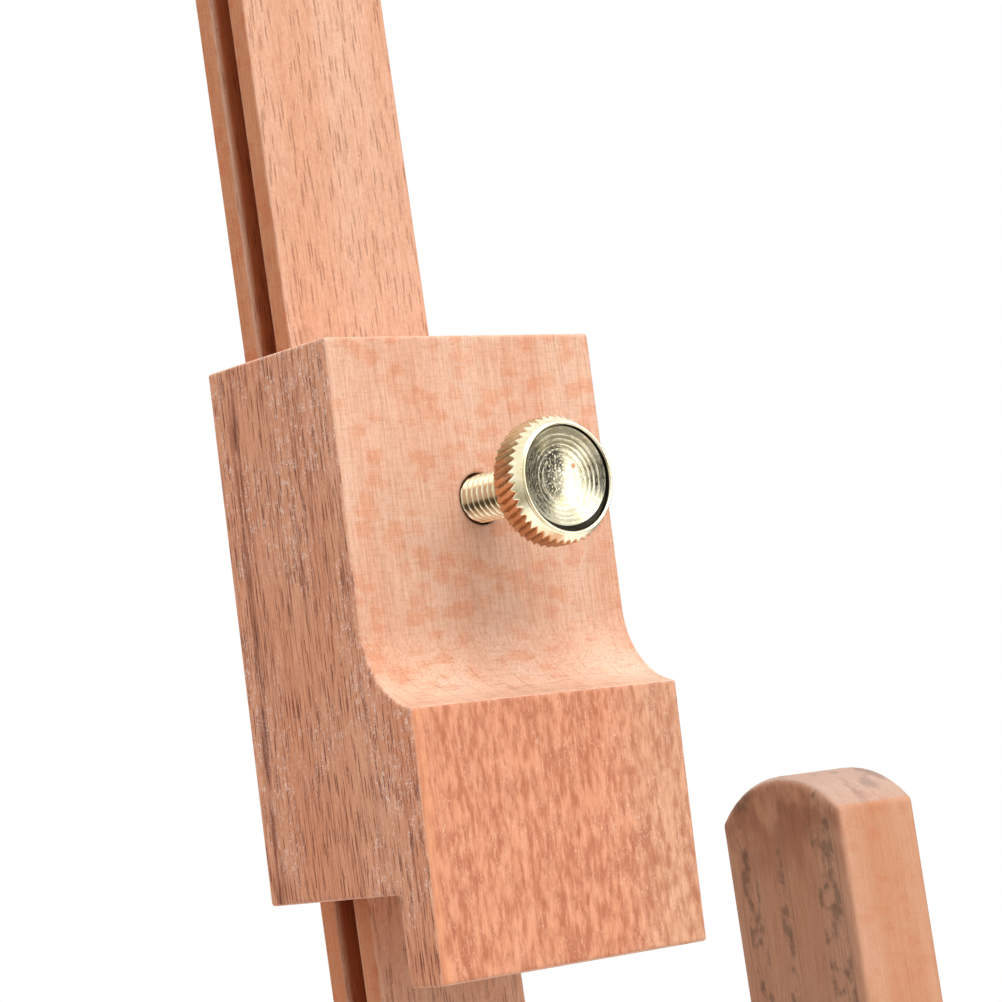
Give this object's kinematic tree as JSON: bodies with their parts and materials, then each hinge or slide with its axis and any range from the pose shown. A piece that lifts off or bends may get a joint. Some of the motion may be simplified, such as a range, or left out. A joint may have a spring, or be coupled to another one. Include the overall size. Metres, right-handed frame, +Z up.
{
  "type": "tabletop easel",
  "caption": "Beech tabletop H-frame easel: leaning mast with a sliding canvas holder and tray, rear struts and a runner base, clamped by brass thumb screws.",
  "frame": {"origin": "on the table, at the centre of the footprint", "axes": "+X to the painter's right, +Y to the back of the easel, +Z up"},
  "size_m": [0.2708, 0.315, 0.4562],
  "materials": {
    "beech": "sanded beech, oiled, satin",
    "beech_holder": "sanded beech with ray flecks, satin",
    "beech_mast": "sanded beech with short pores along the mast, satin",
    "brass": "bright brass plate, turned and knurled",
    "steel": "zinc-plated steel",
    "rubber": "black rubber, matt"
  },
  "bodies": {
    "base": {"runner_left": "beech", "runner_right": "beech", "base_bar_front": "beech", "base_bar_rear": "beech", "base_screws": "steel", "hinge_bolts": "steel", "hinge_spacers": "brass", "hinge_nuts": "steel", "rubber_feet": "rubber", "foot_pins": "steel"},
    "frame": {"post_left": "beech", "post_right": "beech", "upper_crossbar": "beech", "lower_crossbar": "beech", "crossbar_screws": "steel", "guide_cheek_upper_left": "beech", "guide_cheek_upper_right": "beech", "guide_cheek_lower_left": "beech", "guide_cheek_lower_right": "beech", "keeper_upper_left": "brass", "keeper_upper_right": "brass", "keeper_lower_left": "brass", "keeper_lower_right": "brass", "keeper_screws": "steel", "mast_lock_insert": "brass", "pivot_bolts": "steel", "pivot_nuts": "steel"},
    "mast": {"mast": "beech_mast"},
    "mast_lock": {"mast_lock_screw": "brass"},
    "holder": {"holder_block": "beech_holder", "holder_insert": "brass"},
    "holder_knob": {"holder_screw": "brass"},
    "tray": {"tray_block": "beech", "tray_shelf": "beech", "tray_rim": "beech", "tray_shelf_screws": "steel", "tray_insert": "brass"},
    "tray_knob": {"tray_screw": "brass"},
    "strut_left": {"strut_left": "beech", "strut_insert_left": "brass"},
    "strut_right": {"strut_right": "beech", "strut_insert_right": "brass"},
    "clamp_left": {"clamp_screw_left": "brass", "clamp_washer_left": "brass"},
    "clamp_right": {"clamp_screw_right": "brass", "clamp_washer_right": "brass"}
  },
  "joints": [
    {"name": "frame_lean", "type": "hinge", "parent": "base", "child": "frame", "pos_m": [0, -0.1075, 0.028], "axis": [-1, 0, 0], "range_deg": [-8, 76.8]},
    {"name": "strut_left_swing", "type": "hinge", "parent": "frame", "child": "strut_left", "pos_m": [-0.11, -0.07861, 0.15116], "axis": [1, 0, 0], "range_deg": [-16, 153.6]},
    {"name": "strut_right_swing", "type": "hinge", "parent": "frame", "child": "strut_right", "pos_m": [0.11, -0.07861, 0.15116], "axis": [1, 0, 0], "range_deg": [-16, 153.6]},
    {"name": "mast_slide", "type": "slide", "parent": "frame", "child": "mast", "axis": [0, 0.2284, 0.9736], "range_m": [0, 0.06]},
    {"name": "holder_slide", "type": "slide", "parent": "mast", "child": "holder", "axis": [0, 0.2284, 0.9736], "range_m": [-0.036, 0.09]},
    {"name": "tray_slide", "type": "slide", "parent": "mast", "child": "tray", "axis": [0, 0.2284, 0.9736], "range_m": [-0.02, 0.08]},
    {"name": "mast_lock_turn", "type": "hinge", "parent": "frame", "child": "mast_lock", "pos_m": [0, -0.0584, 0.23732], "axis": [0, 0.9736, -0.2284], "range_deg": [0, 1440]},
    {"name": "holder_screw_turn", "type": "hinge", "parent": "holder", "child": "holder_knob", "pos_m": [0, -0.0871, 0.34399], "axis": [0, -0.9796, 0.2011], "range_deg": [0, 1440]},
    {"name": "tray_screw_turn", "type": "hinge", "parent": "tray", "child": "tray_knob", "pos_m": [0, -0.13847, 0.11743], "axis": [0, -0.9736, 0.2284], "range_deg": [0, 1440]},
    {"name": "clamp_left_turn", "type": "hinge", "parent": "strut_left", "child": "clamp_left", "pos_m": [-0.129, -0.04973, 0.028], "axis": [-1, 0, 0], "range_deg": [0, 1080]},
    {"name": "clamp_right_turn", "type": "hinge", "parent": "strut_right", "child": "clamp_right", "pos_m": [0.129, -0.04973, 0.028], "axis": [1, 0, 0], "range_deg": [0, 1080]}
  ],
  "couplings": [
    {"joint": "strut_left_swing", "follows": "frame_lean", "ratio": 2},
    {"joint": "strut_right_swing", "follows": "frame_lean", "ratio": 2}
  ]
}
